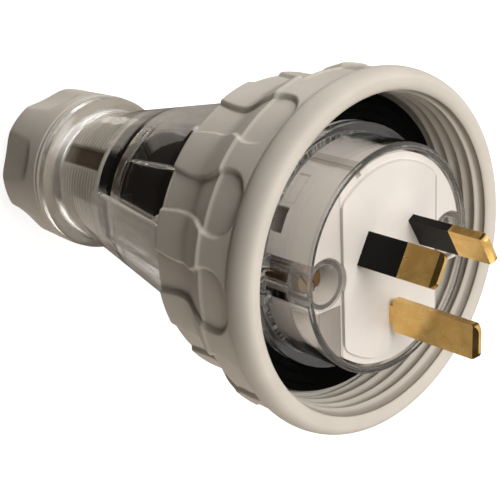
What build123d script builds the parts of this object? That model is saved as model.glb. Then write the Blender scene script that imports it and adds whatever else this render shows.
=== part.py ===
"""Weatherproof plug top with three flat pins, a screwed locking ring, a clear body and a cord gland.

The plug stands on the rear face of its gland nut, which holds the origin. Its axis is +Z and its pins
point up. Seen from the front with +Y up, the earth pin is at the bottom. All lengths are millimetres.
"""

import os
from math import cos, radians, sin

from build123d import *

os.makedirs("parts", exist_ok=True)

# Clearances
turning_gap = 0.3  # between bodies that turn or slide on each other
moulding_gap = 0.3  # between mouldings that drop into each other
screw_gap = 0.05  # round a screw in its own thread
press_gap = 0.2  # between the faces of the gland's pile when it is tight

# Flat pin pattern
blade_width = 6.35
blade_thickness = 1.63
live_pin_radius = 7.92  # from the axis to the middle of a live blade
earth_pin_radius = 10.31
active_pin_angle = 30
neutral_pin_angle = 150
earth_pin_angle = 270
live_pin_reach = 17.06  # beyond the pin face
earth_pin_reach = 19.94
sleeve_reach = 9.0
sleeve_wall = 0.35
neck_width = 3.5  # of the tang in the terminal, and of the earth blade at the face
earth_neck_reach = 1.0
tang_length = 3.5
tip_bevel = 0.45
tip_bevel_length = 1.0
tip_corner = 1.4

live_pins = (("active", active_pin_angle), ("neutral", neutral_pin_angle))

# Stations along the axis
pin_face_z = 104.0
plateau_rise = 0.6
face_wall = 5.0
carrier_flange_thickness = 3.0
flange_depth = 15.0  # pin face to the front of the housing's flange
flange_thickness = 5.0
nut_grip_length = 16.7
spigot_length = 19.0
washer_thickness = 1.0
seal_length = 3.2
step_thickness = 4.0

flange_front_z = pin_face_z - flange_depth
flange_rear_z = flange_front_z - flange_thickness
carrier_rear_z = flange_front_z - carrier_flange_thickness
face_rear_z = pin_face_z - face_wall
neck_rear_z = nut_grip_length + turning_gap
spigot_front_z = nut_grip_length + spigot_length
washer_rear_z = spigot_front_z + press_gap
seal_rear_z = washer_rear_z + washer_thickness + press_gap
step_rear_z = seal_rear_z + seal_length
step_front_z = step_rear_z + step_thickness

# Locking ring
ring_front_depth = 1.6  # behind the pin face
ring_length = 29.0
ring_bore_radius = 29.2  # crests of the thread
mouth_chamfer = 0.9
front_wall = 3.25  # under the recesses of the front row
skirt_wall = 2.3  # under the recesses of the rear row
skirt_relief = 0.95  # of the skirt's bore behind the shoulder
flank_rise = 0.15  # along the front row, towards the rim
rim_rise = 1.0  # of the rim above the front row
rim_round = 2.3
rim_length = 5.5
rear_row_length = 7.0
ramp_length = 8.5
shoulder_length = 3.6
guide_radius = 25.6  # of the housing, where the ring turns on it
grip_count = 12
grip_start_angle = 2
grip_depth = 0.85
grip_mouth_half_width = 4.0
grip_waist_half_width = 3.2
grip_neck_half_width = 3.95
grip_bulb_half_width = 5.8
grip_waist_length = 5.8
grip_neck_length = 13.0
grip_bulb_length = 17.6
grip_length = 22.9
grip_corner = 4.5

ring_front_z = pin_face_z - ring_front_depth
ring_rear_z = ring_front_z - ring_length
shoulder_front_z = flange_rear_z - turning_gap
shoulder_rear_z = shoulder_front_z - shoulder_length
shoulder_radius = guide_radius + turning_gap
skirt_radius = shoulder_radius + skirt_relief
mouth_radius = ring_bore_radius + mouth_chamfer
rear_row_radius = skirt_radius + skirt_wall + grip_depth
front_row_radius = ring_bore_radius + front_wall + grip_depth
flank_radius = front_row_radius + flank_rise
rim_radius = front_row_radius + rim_rise
rim_nose_radius = rim_radius - rim_round

# Clear rear housing
flange_gap = 0.6
spigot_radius = 12.8  # of the gland nut, inside the neck
neck_wall = 1.4
collar_rise = 2.7  # of the neck's rear collar
collar_length = 1.6
shoulder_run = 3.9  # collar to the thin end of the cone
cone_front_radius = 24.9
cone_length = 50.5
cone_wall = 2.2
step_hole_radius = 8.0
pillar_width = 9.0
pillar_rise = 0.8
pillar_length = 32.5
lug_count = 4
lug_start_angle = 45
lug_angle = 24
lug_height = 0.8
lug_length = 1.7

flange_radius = ring_bore_radius - flange_gap
neck_bore_radius = spigot_radius + turning_gap
cone_rear_radius = neck_bore_radius + neck_wall
collar_radius = cone_rear_radius + collar_rise
cone_rear_z = neck_rear_z + collar_length + shoulder_run
cone_front_z = cone_rear_z + cone_length
cone_slope = (cone_front_radius - cone_rear_radius) / cone_length

# Clear front cover and assembly screws
cover_radius = 21.4
cover_wall = 1.4
cover_lead = 0.15  # in front of the pin face
cover_flange_width = 1.9
cover_flange_length = 3.5
cover_edge = 0.4
tab_offset = 3.3  # from the line through the screws to the middle of a tab
tab_width = 2.7
tab_length = 1.7
tab_height = 1.2
boss_radius = 4.5
boss_inset = 0.3  # of the screw bosses from the outside of the cover
boss_depth = 0.8
head_depth = 4.0
head_radius = 2.4
head_height = 1.5
well_gap = 1.2
screw_radius = 1.5
screw_length = 28.0
screw_hole_gap = 0.25
post_radius = 3.6
post_length = 24.0
drive_slot_width = 0.8
drive_slot_depth = 0.8
drive_slot_angle = 35  # of the assembly screws, as they came to rest

# White pin carrier
carrier_gap = 0.4
carrier_flange_lap = 0.3  # of the carrier's flange beyond the cover that clamps it
carrier_seat_width = 1.1
plateau_inset = 1.3
plateau_half_width = 12.5
plateau_corner = 3.0
carrier_wall = 4.1
cavity_half_width = 10.6
pocket_depth = 6.0
pocket_margin = 0.4
access_width = 4.6
access_length = 6.0
access_inner_radius = 11.0
keyway_angle = 114
keyway_width = 1.2
keyway_depth = 0.8

cover_inner_radius = cover_radius - cover_wall
cover_flange_radius = cover_radius + cover_flange_width
screw_offset = cover_radius - boss_radius - boss_inset
carrier_radius = cover_inner_radius - carrier_gap
carrier_flange_radius = cover_radius + carrier_flange_lap
carrier_seat_radius = carrier_flange_radius + moulding_gap
chamber_radius = carrier_flange_radius - carrier_seat_width
plateau_radius = carrier_radius - plateau_inset
cavity_radius = carrier_radius - carrier_wall

# Gasket
gasket_thickness = 2.7
gasket_lip = 1.0

# Terminals and their screws
terminal_width = 6.4
terminal_depth = 4.6
terminal_length = 11.0
tunnel_radius = 1.7
tunnel_length = 6.5
clamp_height = 3.2  # terminal's rear end to its screw
clamp_radius = 1.5
clamp_head_radius = 2.2
clamp_head_height = 1.3

# Black shroud and its screws
shroud_wall = 1.6
shroud_half_width = 12.6
shroud_gap = 0.8
shroud_rim_length = 7.5
tube_radius = 11.5
tube_gap = 0.6  # between the tube and the step at the end of the neck
shroud_screw_inset = 2.2  # from the outside of the carrier
shroud_screw_radius = 1.2
shroud_head_radius = 1.9
shroud_head_height = 1.6
shroud_screw_bite = 8.0
shroud_pillar_radius = 2.3

shroud_radius = chamber_radius - shroud_gap
shroud_screw_offset = carrier_radius - shroud_screw_inset

# Gland
nut_overhang = 0.2  # of the nut beyond the neck's collar
nut_taper = 0.5
nut_edge = 2.4
nut_bore_radius = 6.5
nut_bore_chamfer = 1.2
nut_end_wall = 6.0
spigot_wall = 2.5
slot_count = 4  # across the spigot's thread
slot_start_angle = 55
slot_width = 4.0
slot_depth = 1.9
slot_setback = 1.2
dish_count = 6
dish_start_angle = 40
dish_radius = 22.0
dish_depth = 1.6
dish_end_depth = 0.7
dish_length = 12.5
washer_hole_gap = 0.5
seal_hole_gap = 0.1

nut_radius = collar_radius + nut_overhang
nut_rear_radius = nut_radius - nut_taper


def finish(piece, label):
    """Label one piece and write it to its own file."""
    piece.part.label = label
    export_step(piece.part, f"parts/{label}.step")


def radial_point(radius, angle, height):
    """A point at a radius and an angle round the axis."""
    return (radius * cos(radians(angle)), radius * sin(radians(angle)), height)


def radial_plane(radius, angle, height=0.0):
    """An upright plane facing outwards: local X runs round the axis and local Y runs up."""
    outward = radial_point(1, angle, 0)
    across = (-outward[1], outward[0], 0)
    return Plane(origin=radial_point(radius, angle, height), x_dir=across, z_dir=outward)


def cone_radius(height):
    """Outer radius of the housing's cone at a height."""
    return cone_rear_radius + cone_slope * (height - cone_rear_z)


def grip_flank(sink):
    """The ring's grip flank from its rear edge to the rim, lowered by sink, in the open line."""
    rear_radius = rear_row_radius - sink
    rear = Line((rear_radius, ring_rear_z), (rear_radius, ring_rear_z + rear_row_length))
    ramp_top = (front_row_radius - sink, ring_rear_z + rear_row_length + ramp_length)
    ramp = Spline(rear @ 1, ramp_top, tangents=((0, 1), (0, 1)))
    return Line(ramp @ 1, (flank_radius - sink, ring_front_z - rim_length))


# Locking ring: a turned section with bulb-shaped finger recesses sunk into its flank
with BuildPart() as recess:
    with BuildSketch(radial_plane(0, 0)):
        with BuildLine():
            end_z = ring_rear_z + grip_length
            side = Spline(
                (grip_mouth_half_width, ring_rear_z - grip_depth),
                (grip_waist_half_width, ring_rear_z + grip_waist_length),
                (grip_neck_half_width, ring_rear_z + grip_neck_length),
                (grip_bulb_half_width, ring_rear_z + grip_bulb_length),
                tangents=((0, 1), (0, 1)),
            )
            bulb = Line(side @ 1, (grip_bulb_half_width, end_z - grip_corner))
            corner = TangentArc(bulb @ 1, (grip_bulb_half_width - grip_corner, end_z), tangent=(0, 1))
            Line(corner @ 1, (0, end_z))
            Line((0, ring_rear_z - grip_depth), side @ 0)
            mirror(about=Plane.YZ)
        make_face()
    extrude(amount=rim_radius + grip_depth)
    with BuildSketch(Plane.XZ):
        with BuildLine():
            top = grip_flank(grip_depth)
            outer = rim_radius + 2 * grip_depth
            Polyline(
                top @ 1,
                (outer, ring_front_z - rim_length),
                (outer, ring_rear_z - grip_depth),
                (rear_row_radius - grip_depth, ring_rear_z - grip_depth),
                (rear_row_radius - grip_depth, ring_rear_z),
            )
        make_face()
    revolve(axis=Axis.Z, mode=Mode.INTERSECT)

with BuildPart() as locking_ring:
    with BuildSketch(Plane.XZ):
        with BuildLine():
            flank = grip_flank(0)
            swell = Spline(
                flank @ 1,
                (rim_radius, ring_front_z - rim_length / 2),
                (rim_nose_radius, ring_front_z),
                tangents=((0.6, 1), (-1, 0)),
            )
            nose = Line(swell @ 1, (mouth_radius + mouth_chamfer, ring_front_z))
            mouth = Line(nose @ 1, (mouth_radius, ring_front_z - mouth_chamfer))
            Polyline(
                mouth @ 1,
                (ring_bore_radius, ring_front_z - 2 * mouth_chamfer),
                (ring_bore_radius, shoulder_front_z),
                (shoulder_radius, shoulder_front_z),
                (shoulder_radius, shoulder_rear_z),
                (skirt_radius, shoulder_rear_z),
                (skirt_radius, ring_rear_z),
                (rear_row_radius, ring_rear_z),
            )
        make_face()
    revolve(axis=Axis.Z)
    with PolarLocations(0, grip_count, start_angle=grip_start_angle):
        add(recess.part, mode=Mode.SUBTRACT)
finish(locking_ring, "locking_ring")

# Clear rear housing: neck, cone, flange and the two pillars that take the assembly screws
with BuildPart() as rear_housing:
    with BuildSketch(Plane.XZ):
        with BuildLine():
            chamber_front_z = cone_rear_z + (chamber_radius + cone_wall - cone_rear_radius) / cone_slope
            collar_front = (collar_radius, neck_rear_z + collar_length)
            cone_rear = (cone_rear_radius, cone_rear_z)
            Polyline((neck_bore_radius, neck_rear_z), (collar_radius, neck_rear_z), collar_front)
            Spline(collar_front, cone_rear, tangents=((-1, 0.3), (cone_slope, 1)))
            Polyline(
                cone_rear,
                (cone_front_radius, cone_front_z),
                (guide_radius, cone_front_z + guide_radius - cone_front_radius),
                (guide_radius, flange_rear_z),
                (flange_radius, flange_rear_z),
                (flange_radius, flange_front_z),
                (carrier_seat_radius, flange_front_z),
                (carrier_seat_radius, carrier_rear_z),
                (chamber_radius, carrier_rear_z),
                (chamber_radius, chamber_front_z),
                (cone_radius(step_front_z) - cone_wall, step_front_z),
                (step_hole_radius, step_front_z),
                (step_hole_radius, step_rear_z),
                (neck_bore_radius, step_rear_z),
                (neck_bore_radius, neck_rear_z),
            )
        make_face()
    revolve(axis=Axis.Z)
    with BuildSketch(Plane.XY.offset(carrier_rear_z)):
        with Locations((screw_offset, 0), (-screw_offset, 0)):
            Circle(post_radius)
        for side_sign in (1, -1):
            with Locations((side_sign * (screw_offset + chamber_radius + cone_wall / 2) / 2, 0)):
                Rectangle(chamber_radius + cone_wall / 2 - screw_offset, 2 * post_radius)
    extrude(amount=-post_length)
    with BuildSketch(Plane.XZ):
        with BuildLine():
            pillar_rear_z = cone_front_z - pillar_length
            Polyline(
                (cone_radius(pillar_rear_z) - cone_wall / 2, pillar_rear_z),
                (cone_radius(pillar_rear_z) + pillar_rise, pillar_rear_z + pillar_rise),
                (cone_front_radius + pillar_rise / 4, cone_front_z + pillar_rise),
                (cone_front_radius - cone_wall / 2, cone_front_z),
                close=True,
            )
        make_face()
        mirror(about=Plane.YZ)
    extrude(amount=pillar_width / 2, both=True)
    for lug_number in range(lug_count):
        lug_middle = lug_start_angle + lug_number * 360 / lug_count
        with BuildSketch(Plane.XZ.rotated((0, 0, lug_middle - lug_angle / 2))):
            with BuildLine():
                lug_front_z = shoulder_rear_z - turning_gap
                Polyline(
                    (guide_radius - lug_height, lug_front_z),
                    (guide_radius + lug_height, lug_front_z),
                    (guide_radius - lug_height, lug_front_z - 2 * lug_length),
                    close=True,
                )
            make_face()
        revolve(axis=Axis.Z, revolution_arc=lug_angle)
    with Locations((screw_offset, 0, carrier_rear_z), (-screw_offset, 0, carrier_rear_z)):
        Hole(screw_radius + screw_gap, depth=post_length - post_radius / 2)
finish(rear_housing, "rear_housing")

# Clear front cover: a cup round the carrier with a foot flange, two key tabs and a well at each screw
with BuildPart() as front_cover:
    with BuildSketch(Plane.XZ):
        with BuildLine():
            cover_front_z = pin_face_z + cover_lead
            Polyline(
                (cover_inner_radius, flange_front_z),
                (cover_radius, flange_front_z),
                (cover_radius, flange_front_z + gasket_lip),
                (cover_flange_radius, flange_front_z + gasket_lip),
                (cover_flange_radius, flange_front_z + gasket_lip + cover_flange_length),
                (cover_radius, flange_front_z + gasket_lip + cover_flange_length),
                (cover_radius, cover_front_z - cover_edge),
                (cover_radius - cover_edge, cover_front_z),
                (cover_inner_radius + cover_edge, cover_front_z),
                (cover_inner_radius, cover_front_z - cover_edge),
                close=True,
            )
        make_face()
    revolve(axis=Axis.Z)
    with BuildSketch(Plane.XY.offset(flange_front_z)):
        with Locations((screw_offset, 0), (-screw_offset, 0)):
            Circle(boss_radius)
    extrude(amount=flange_depth - boss_depth)
    with BuildSketch(Plane.XY.offset(flange_front_z + gasket_lip)):
        with GridLocations(2 * cover_radius, 2 * tab_offset, 2, 2):
            Rectangle(2 * tab_length, tab_width)
        Circle(cover_flange_radius, mode=Mode.INTERSECT)
        Circle(cover_inner_radius + cover_wall / 2, mode=Mode.SUBTRACT)
    extrude(amount=cover_flange_length + tab_height)
    with Locations((screw_offset, 0, pin_face_z - boss_depth), (-screw_offset, 0, pin_face_z - boss_depth)):
        CounterBoreHole(
            radius=screw_radius + screw_hole_gap,
            counter_bore_radius=head_radius + well_gap,
            counter_bore_depth=head_depth + head_height - boss_depth,
        )
finish(front_cover, "front_cover")

# White pin carrier
with BuildPart() as pin_carrier:
    with BuildSketch(Plane.XY.offset(carrier_rear_z)):
        Circle(carrier_flange_radius)
    extrude(amount=carrier_flange_thickness)
    with BuildSketch(Plane.XY.offset(flange_front_z)):
        Circle(carrier_radius)
    extrude(amount=flange_depth - plateau_rise)
    with BuildSketch(Plane.XY.offset(pin_face_z - plateau_rise)) as plateau:
        Circle(plateau_radius)
        Rectangle(2 * plateau_half_width, 2 * plateau_radius, mode=Mode.INTERSECT)
        fillet(plateau.vertices(), plateau_corner)
    extrude(amount=plateau_rise)
    with BuildSketch(Plane.XY.offset(flange_front_z)):
        with Locations((screw_offset, 0), (-screw_offset, 0)):
            Circle(boss_radius + moulding_gap)
    extrude(amount=flange_depth, mode=Mode.SUBTRACT)
    with BuildSketch(Plane.XY.offset(pin_face_z)):
        pocket_width = carrier_radius - plateau_half_width
        pocket_top = -boss_radius - pocket_margin
        for side_sign in (1, -1):
            with Locations((side_sign * (plateau_half_width + pocket_margin), pocket_top)):
                corner_align = Align.MIN if side_sign > 0 else Align.MAX
                Rectangle(pocket_width, carrier_radius, align=(corner_align, Align.MAX))
    extrude(amount=-pocket_depth, mode=Mode.SUBTRACT)
    with BuildSketch(Plane.XY.offset(carrier_rear_z)):
        Circle(cavity_radius)
        Rectangle(2 * cavity_half_width, 2 * cavity_radius, mode=Mode.INTERSECT)
    extrude(amount=face_rear_z - carrier_rear_z, mode=Mode.SUBTRACT)
    for angle in (active_pin_angle, neutral_pin_angle, earth_pin_angle):
        with BuildSketch(radial_plane(access_inner_radius, angle, flange_front_z)):
            Rectangle(access_width, access_length, align=(Align.CENTER, Align.MIN))
        extrude(amount=carrier_flange_radius - access_inner_radius, mode=Mode.SUBTRACT)
    with BuildSketch(radial_plane(carrier_radius - keyway_depth, keyway_angle, flange_front_z)):
        Rectangle(keyway_width, flange_depth, align=(Align.CENTER, Align.MIN))
    extrude(amount=2 * keyway_depth, mode=Mode.SUBTRACT)
    for angle in (active_pin_angle, neutral_pin_angle):
        blade_foot = radial_point(live_pin_radius, angle, face_rear_z)
        with BuildSketch(Plane(blade_foot, radial_point(1, angle + 90, 0))):
            Rectangle(blade_width, blade_thickness)
        extrude(amount=face_wall, mode=Mode.SUBTRACT)
    with BuildSketch(Plane(radial_point(earth_pin_radius, earth_pin_angle, face_rear_z))):
        Rectangle(blade_thickness, neck_width)
    extrude(amount=face_wall, mode=Mode.SUBTRACT)
    with Locations((screw_offset, 0, flange_front_z), (-screw_offset, 0, flange_front_z)):
        Hole(screw_radius + screw_hole_gap, depth=carrier_flange_thickness)
    with BuildSketch(Plane.XY.offset(carrier_rear_z)):
        with Locations((0, shroud_screw_offset), (0, -shroud_screw_offset)):
            Circle(shroud_screw_radius + screw_gap)
    extrude(amount=shroud_screw_bite + shroud_screw_radius, mode=Mode.SUBTRACT)
finish(pin_carrier, "pin_carrier")


def blade(plane, width, thickness, rear_z, front_z):
    """A straight length of blade between two heights, in the open part."""
    with BuildSketch(plane) as outline:
        with Locations((0, rear_z)):
            Rectangle(width, front_z - rear_z, align=(Align.CENTER, Align.MIN))
    extrude(outline.sketch, amount=thickness / 2, both=True)


def blade_end(plane, rear_z, tip_z):
    """The bare end of a blade: round corners and a long bevel on both broad faces, in the open part."""
    with BuildSketch(plane) as outline:
        with Locations((0, rear_z)):
            Rectangle(blade_width, tip_z - rear_z, align=(Align.CENTER, Align.MIN))
        fillet(outline.vertices().group_by(Axis.Y)[-1], tip_corner)
    extrude(outline.sketch, amount=blade_thickness / 2, both=True)
    edge_on = Plane(plane.origin, x_dir=plane.z_dir, z_dir=plane.z_dir.cross(Vector(0, 0, 1)))
    with BuildSketch(edge_on) as bevels:
        with BuildLine():
            Polyline(
                (blade_thickness / 2, tip_z - tip_bevel_length),
                (blade_thickness / 2 - tip_bevel, tip_z),
                (blade_thickness, tip_z),
                (blade_thickness, tip_z - tip_bevel_length),
                close=True,
            )
        make_face()
        mirror(about=Plane.YZ)
    extrude(bevels.sketch, amount=blade_width, both=True, mode=Mode.SUBTRACT)


# Live blades: thinned under their sleeves so that sleeve and blade are flush
core_width = blade_width - 2 * sleeve_wall
core_thickness = blade_thickness - 2 * sleeve_wall
sleeve_front_z = pin_face_z + sleeve_reach
for pole, angle in live_pins:
    pin_plane = radial_plane(live_pin_radius, angle)
    with BuildPart() as live_pin:
        blade(pin_plane, neck_width, core_thickness, face_rear_z - tang_length, face_rear_z)
        blade(pin_plane, core_width, core_thickness, face_rear_z, sleeve_front_z)
        blade_end(pin_plane, sleeve_front_z, pin_face_z + live_pin_reach)
    finish(live_pin, f"{pole}_pin")

    with BuildPart() as sleeve:
        blade(pin_plane, blade_width, blade_thickness, face_rear_z, sleeve_front_z)
        blade_foot = radial_point(live_pin_radius, angle, face_rear_z)
        with BuildSketch(Plane(blade_foot, radial_point(1, angle + 90, 0))):
            Rectangle(core_width, core_thickness)
        extrude(amount=sleeve_front_z - face_rear_z, mode=Mode.SUBTRACT)
    finish(sleeve, f"{pole}_sleeve")

# Earth blade: set edgewise to the axis, with a narrow neck at the face
earth_plane = Plane(radial_point(earth_pin_radius, earth_pin_angle, 0), x_dir=(0, 1, 0), z_dir=(1, 0, 0))
with BuildPart() as earth_pin:
    shoulder_z = pin_face_z + earth_neck_reach
    blade(earth_plane, neck_width, blade_thickness, face_rear_z - tang_length, shoulder_z)
    blade_end(earth_plane, shoulder_z, pin_face_z + earth_pin_reach)
finish(earth_pin, "earth_pin")

# Gasket: a flat ring with a thin lip that the cover's flange holds down
with BuildPart() as sealing_gasket:
    with BuildSketch(Plane.XZ):
        with BuildLine():
            lip_radius = carrier_seat_radius + moulding_gap
            body_radius = cover_flange_radius + moulding_gap
            Polyline(
                (lip_radius, flange_front_z),
                (flange_radius, flange_front_z),
                (flange_radius, flange_front_z + gasket_thickness),
                (body_radius, flange_front_z + gasket_thickness),
                (body_radius, flange_front_z + gasket_lip),
                (lip_radius, flange_front_z + gasket_lip),
                close=True,
            )
        make_face()
    revolve(axis=Axis.Z)
finish(sealing_gasket, "sealing_gasket")

# Assembly screws: cheese heads with a drive slot, clamping cover, carrier and housing together
with BuildPart() as assembly_screws:
    head_seat_z = pin_face_z - head_depth - head_height
    with BuildSketch(Plane.XY.offset(head_seat_z)):
        with Locations((screw_offset, 0), (-screw_offset, 0)):
            Circle(screw_radius)
    extrude(amount=-screw_length)
    with BuildSketch(Plane.XY.offset(head_seat_z)):
        with Locations((screw_offset, 0), (-screw_offset, 0)):
            Circle(head_radius)
    extrude(amount=head_height)
    with BuildSketch(Plane.XY.offset(head_seat_z + head_height)):
        with Locations((screw_offset, 0), (-screw_offset, 0)):
            Rectangle(drive_slot_width, 2 * head_radius, rotation=drive_slot_angle)
    extrude(amount=-drive_slot_depth, mode=Mode.SUBTRACT)
finish(assembly_screws, "assembly_screws")

# Tunnel terminals with a clamp screw each, reached through the slots in the carrier's side
terminal_rear_z = face_rear_z - terminal_length
terminals = [(pole, live_pin_radius, angle, core_thickness) for pole, angle in live_pins]
terminals.append(("earth", earth_pin_radius, earth_pin_angle, blade_thickness))
for pole, radius, angle, tang_thickness in terminals:
    edgewise = pole == "earth"
    block_size = (terminal_width, terminal_depth) if edgewise else (terminal_depth, terminal_width)
    tang_size = (neck_width, tang_thickness) if edgewise else (tang_thickness, neck_width)
    clamp_z = terminal_rear_z + clamp_height
    outer_face = radius + block_size[0] / 2
    outward = radial_point(1, angle, 0)
    with BuildPart() as terminal:
        with BuildSketch(Plane(radial_point(radius, angle, terminal_rear_z), outward)):
            Rectangle(*block_size)
        extrude(amount=terminal_length)
        with BuildSketch(Plane(radial_point(radius, angle, face_rear_z), outward)):
            Rectangle(*tang_size)
        extrude(amount=-tang_length, mode=Mode.SUBTRACT)
        with BuildSketch(Plane(radial_point(radius, angle, terminal_rear_z), outward)):
            Circle(tunnel_radius)
        extrude(amount=tunnel_length, mode=Mode.SUBTRACT)
        with BuildSketch(radial_plane(radius, angle, clamp_z)):
            Circle(clamp_radius + screw_gap)
        extrude(amount=block_size[0] / 2, mode=Mode.SUBTRACT)
    finish(terminal, f"{pole}_terminal")

    with BuildPart() as clamp_screw:
        with BuildSketch(radial_plane(outer_face, angle, clamp_z)):
            Circle(clamp_head_radius)
        extrude(amount=clamp_head_height)
        with BuildSketch(radial_plane(outer_face, angle, clamp_z)):
            Circle(clamp_radius)
        extrude(amount=tunnel_radius - block_size[0] / 2)
        with BuildSketch(radial_plane(outer_face + clamp_head_height, angle, clamp_z)):
            Rectangle(drive_slot_width, 2 * clamp_head_radius, rotation=90)
        extrude(amount=-drive_slot_depth / 2, mode=Mode.SUBTRACT)
    finish(clamp_screw, f"{pole}_terminal_screw")

# Black shroud: a flat-sided cap behind the terminals that runs back as a cord tube
shroud_plate_z = carrier_rear_z - shroud_rim_length
tube_length = shroud_plate_z - step_front_z - tube_gap
with BuildPart() as terminal_shroud:
    with BuildSketch(Plane.XY.offset(shroud_plate_z)):
        Circle(shroud_radius)
        Rectangle(2 * shroud_half_width, 2 * shroud_radius, mode=Mode.INTERSECT)
    extrude(amount=shroud_rim_length)
    with BuildSketch(Plane.XY.offset(shroud_plate_z + shroud_wall)):
        Circle(shroud_radius - shroud_wall)
        Rectangle(2 * (shroud_half_width - shroud_wall), 2 * shroud_radius, mode=Mode.INTERSECT)
    extrude(amount=shroud_rim_length, mode=Mode.SUBTRACT)
    with BuildSketch(Plane.XY.offset(shroud_plate_z)):
        with Locations((0, shroud_screw_offset), (0, -shroud_screw_offset)):
            Circle(shroud_pillar_radius)
    extrude(amount=shroud_rim_length)
    with BuildSketch(Plane.XY.offset(shroud_plate_z)):
        Circle(tube_radius)
    extrude(amount=-tube_length)
    with BuildSketch(Plane.XY.offset(shroud_plate_z - tube_length)):
        Circle(tube_radius - shroud_wall)
    extrude(amount=tube_length + shroud_wall, mode=Mode.SUBTRACT)
    with BuildSketch(Plane.XY.offset(shroud_plate_z)):
        with Locations((0, shroud_screw_offset), (0, -shroud_screw_offset)):
            Circle(shroud_screw_radius + screw_hole_gap)
    extrude(amount=shroud_rim_length, mode=Mode.SUBTRACT)
finish(terminal_shroud, "terminal_shroud")

with BuildPart() as shroud_screws:
    with BuildSketch(Plane.XY.offset(shroud_plate_z)):
        with Locations((0, shroud_screw_offset), (0, -shroud_screw_offset)):
            Circle(shroud_head_radius)
    extrude(amount=-shroud_head_height)
    with BuildSketch(Plane.XY.offset(shroud_plate_z)):
        with Locations((0, shroud_screw_offset), (0, -shroud_screw_offset)):
            Circle(shroud_screw_radius)
    extrude(amount=shroud_rim_length + shroud_screw_bite)
    with BuildSketch(Plane.XY.offset(shroud_plate_z - shroud_head_height)):
        with Locations((0, shroud_screw_offset), (0, -shroud_screw_offset)):
            Rectangle(2 * shroud_head_radius, drive_slot_width)
    extrude(amount=drive_slot_depth / 2, mode=Mode.SUBTRACT)
finish(shroud_screws, "shroud_screws")

# Gland nut: a grip with finger dishes, a cord hole and a hollow, slotted spigot that screws into the neck
with BuildPart() as dish:
    dish_front = Vector(nut_radius - dish_end_depth + dish_radius, 0, dish_length)
    dish_rear = Vector(nut_rear_radius - dish_depth + dish_radius, 0, 0)
    dish_run = dish_rear - dish_front
    with BuildSketch(Plane(origin=dish_front, z_dir=dish_run)):
        Circle(dish_radius)
    extrude(amount=2 * dish_run.length)

with BuildPart() as gland_nut:
    with BuildSketch(Plane.XZ):
        with BuildLine():
            nut_rear = Line((nut_bore_radius + nut_bore_chamfer, 0), (nut_rear_radius - nut_edge, 0))
            nut_corner = TangentArc(nut_rear @ 1, (nut_rear_radius, nut_edge), tangent=(1, 0))
            Polyline(
                nut_corner @ 1,
                (nut_radius, nut_grip_length),
                (spigot_radius, nut_grip_length),
                (spigot_radius, spigot_front_z),
                (spigot_radius - spigot_wall, spigot_front_z),
                (spigot_radius - spigot_wall, nut_end_wall),
                (nut_bore_radius, nut_end_wall),
                (nut_bore_radius, nut_bore_chamfer),
                nut_rear @ 0,
            )
        make_face()
    revolve(axis=Axis.Z)
    with PolarLocations(0, dish_count, start_angle=dish_start_angle):
        add(dish.part, mode=Mode.SUBTRACT)
    for slot_number in range(slot_count):
        slot_angle = slot_start_angle + slot_number * 360 / slot_count
        slot_plane = radial_plane(spigot_radius - slot_depth, slot_angle, nut_grip_length + slot_setback)
        with BuildSketch(slot_plane):
            Rectangle(slot_width, spigot_length, align=(Align.CENTER, Align.MIN))
        extrude(amount=2 * slot_depth, mode=Mode.SUBTRACT)
finish(gland_nut, "gland_nut")

# Slip washer and rubber seal, piled on the spigot inside the neck
with BuildPart() as slip_washer:
    with BuildSketch(Plane.XY.offset(washer_rear_z)):
        Circle(spigot_radius)
        Circle(nut_bore_radius + washer_hole_gap, mode=Mode.SUBTRACT)
    extrude(amount=washer_thickness)
finish(slip_washer, "slip_washer")

with BuildPart() as gland_seal:
    with BuildSketch(Plane.XY.offset(seal_rear_z)):
        Circle(spigot_radius)
        Circle(nut_bore_radius + seal_hole_gap, mode=Mode.SUBTRACT)
    extrude(amount=seal_length)
finish(gland_seal, "gland_seal")
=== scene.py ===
"""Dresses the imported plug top: moulded ring and gland nut with their threads, clear body, brass and rubber.

Every piece is in metres in the frame of the solids: +Z runs along the plug towards its pins, and the
gland nut's rear face is at zero height. Profiles and the zones of a material are written in millimetres.
"""

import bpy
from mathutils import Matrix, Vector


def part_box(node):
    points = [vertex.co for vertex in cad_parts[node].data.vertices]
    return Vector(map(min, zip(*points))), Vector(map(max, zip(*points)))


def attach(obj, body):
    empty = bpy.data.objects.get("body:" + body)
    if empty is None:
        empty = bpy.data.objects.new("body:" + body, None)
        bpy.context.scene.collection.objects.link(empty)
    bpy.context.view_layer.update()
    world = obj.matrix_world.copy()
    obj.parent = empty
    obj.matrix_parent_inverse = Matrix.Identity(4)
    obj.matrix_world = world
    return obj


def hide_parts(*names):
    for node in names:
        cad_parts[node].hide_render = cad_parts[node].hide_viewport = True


bl_info = {
    "name": "Weatherproof Plug Top",
    "version": (1, 0, 0),
    "blender": (4, 5, 0),
    "location": "View3D > Sidebar > Plug Top",
    "description": "Builds the moulded, threaded and clear pieces of a flat-pin plug top round its solids",
    "category": "Object",
}

import bpy
import numpy as np
from bpy.props import FloatProperty, FloatVectorProperty, IntProperty, PointerProperty
from mathutils import Matrix, Vector

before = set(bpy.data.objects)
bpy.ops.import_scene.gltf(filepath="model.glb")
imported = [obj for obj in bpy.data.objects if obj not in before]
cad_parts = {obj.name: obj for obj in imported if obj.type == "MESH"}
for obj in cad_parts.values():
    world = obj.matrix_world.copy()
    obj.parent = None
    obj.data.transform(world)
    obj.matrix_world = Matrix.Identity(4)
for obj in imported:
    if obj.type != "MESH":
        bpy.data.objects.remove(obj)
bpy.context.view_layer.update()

MM = 0.001

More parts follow.
